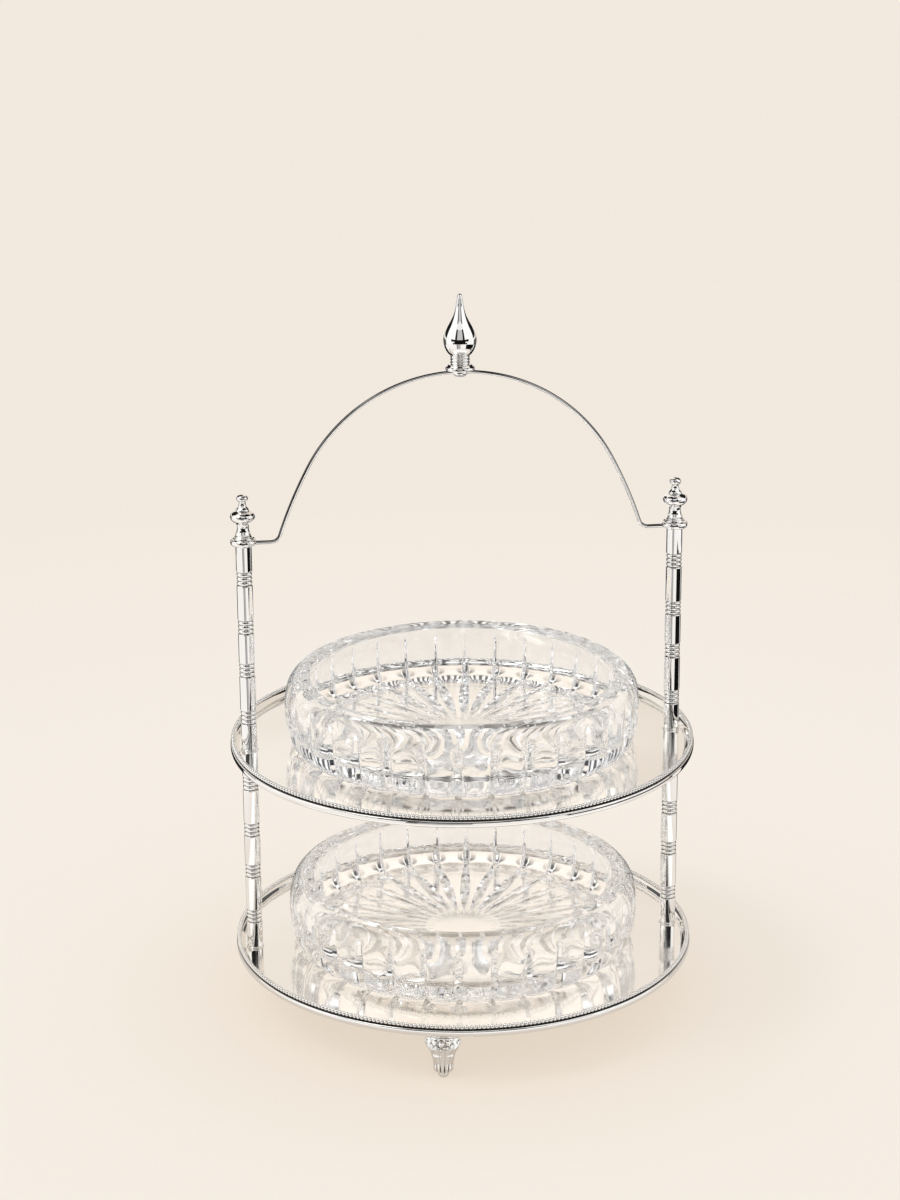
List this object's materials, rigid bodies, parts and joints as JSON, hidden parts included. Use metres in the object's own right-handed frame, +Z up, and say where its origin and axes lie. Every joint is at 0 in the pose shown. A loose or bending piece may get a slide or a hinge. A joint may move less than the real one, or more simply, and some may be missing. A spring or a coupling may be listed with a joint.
{
  "type": "two-tier serving stand",
  "caption": "Two round mirror-polished trays with beaded borders between turned posts, with an arched bail handle and a low cut-crystal bowl on each tray.",
  "frame": {"origin": "on the table, at the centre under the stand", "axes": "+Z up, the posts stand on the X axis, -Y is the side the bowls are drawn out of and the front foot is near"},
  "size_m": [0.25, 0.25, 0.3898],
  "materials": {
    "silver_plate": "bright silver plate, lightly handled",
    "mirror_silver": "mirror-polished silver plate",
    "plated_steel": "turned and threaded, plated",
    "cut_crystal": "clear lead crystal, polished cuts"
  },
  "bodies": {
    "stand": {"lower_tray_border": "silver_plate", "upper_tray_border": "silver_plate", "handle": "silver_plate", "crown_finial": "silver_plate", "foot_front": "silver_plate", "foot_right": "silver_plate", "foot_rear_left": "silver_plate", "lower_post_left": "silver_plate", "lower_post_right": "silver_plate", "upper_post_left": "silver_plate", "upper_post_right": "silver_plate", "lower_collar_left": "silver_plate", "lower_collar_right": "silver_plate", "upper_collar_left": "silver_plate", "upper_collar_right": "silver_plate", "lower_tray": "mirror_silver", "upper_tray": "mirror_silver", "base_screw_left": "plated_steel", "base_screw_right": "plated_steel", "tier_stud_left": "plated_steel", "tier_stud_right": "plated_steel", "handle_stud_left": "plated_steel", "handle_stud_right": "plated_steel", "crown_screw": "plated_steel"},
    "lower_bowl_body": {"lower_bowl": "cut_crystal"},
    "upper_bowl_body": {"upper_bowl": "cut_crystal"},
    "left_finial_body": {"finial_left": "silver_plate"},
    "right_finial_body": {"finial_right": "silver_plate"}
  },
  "joints": [
    {"name": "lower_bowl_draw", "type": "slide", "parent": "stand", "child": "lower_bowl_body", "axis": [0, -0.9781, 0.2079], "range_m": [0, 0.245]},
    {"name": "upper_bowl_draw", "type": "slide", "parent": "stand", "child": "upper_bowl_body", "axis": [0, -0.9781, 0.2079], "range_m": [0, 0.245]},
    {"name": "left_finial_unscrew", "type": "slide", "parent": "stand", "child": "left_finial_body", "axis": [0, 0, 1], "range_m": [0, 0.012]},
    {"name": "right_finial_unscrew", "type": "slide", "parent": "stand", "child": "right_finial_body", "axis": [0, 0, 1], "range_m": [0, 0.012]}
  ]
}
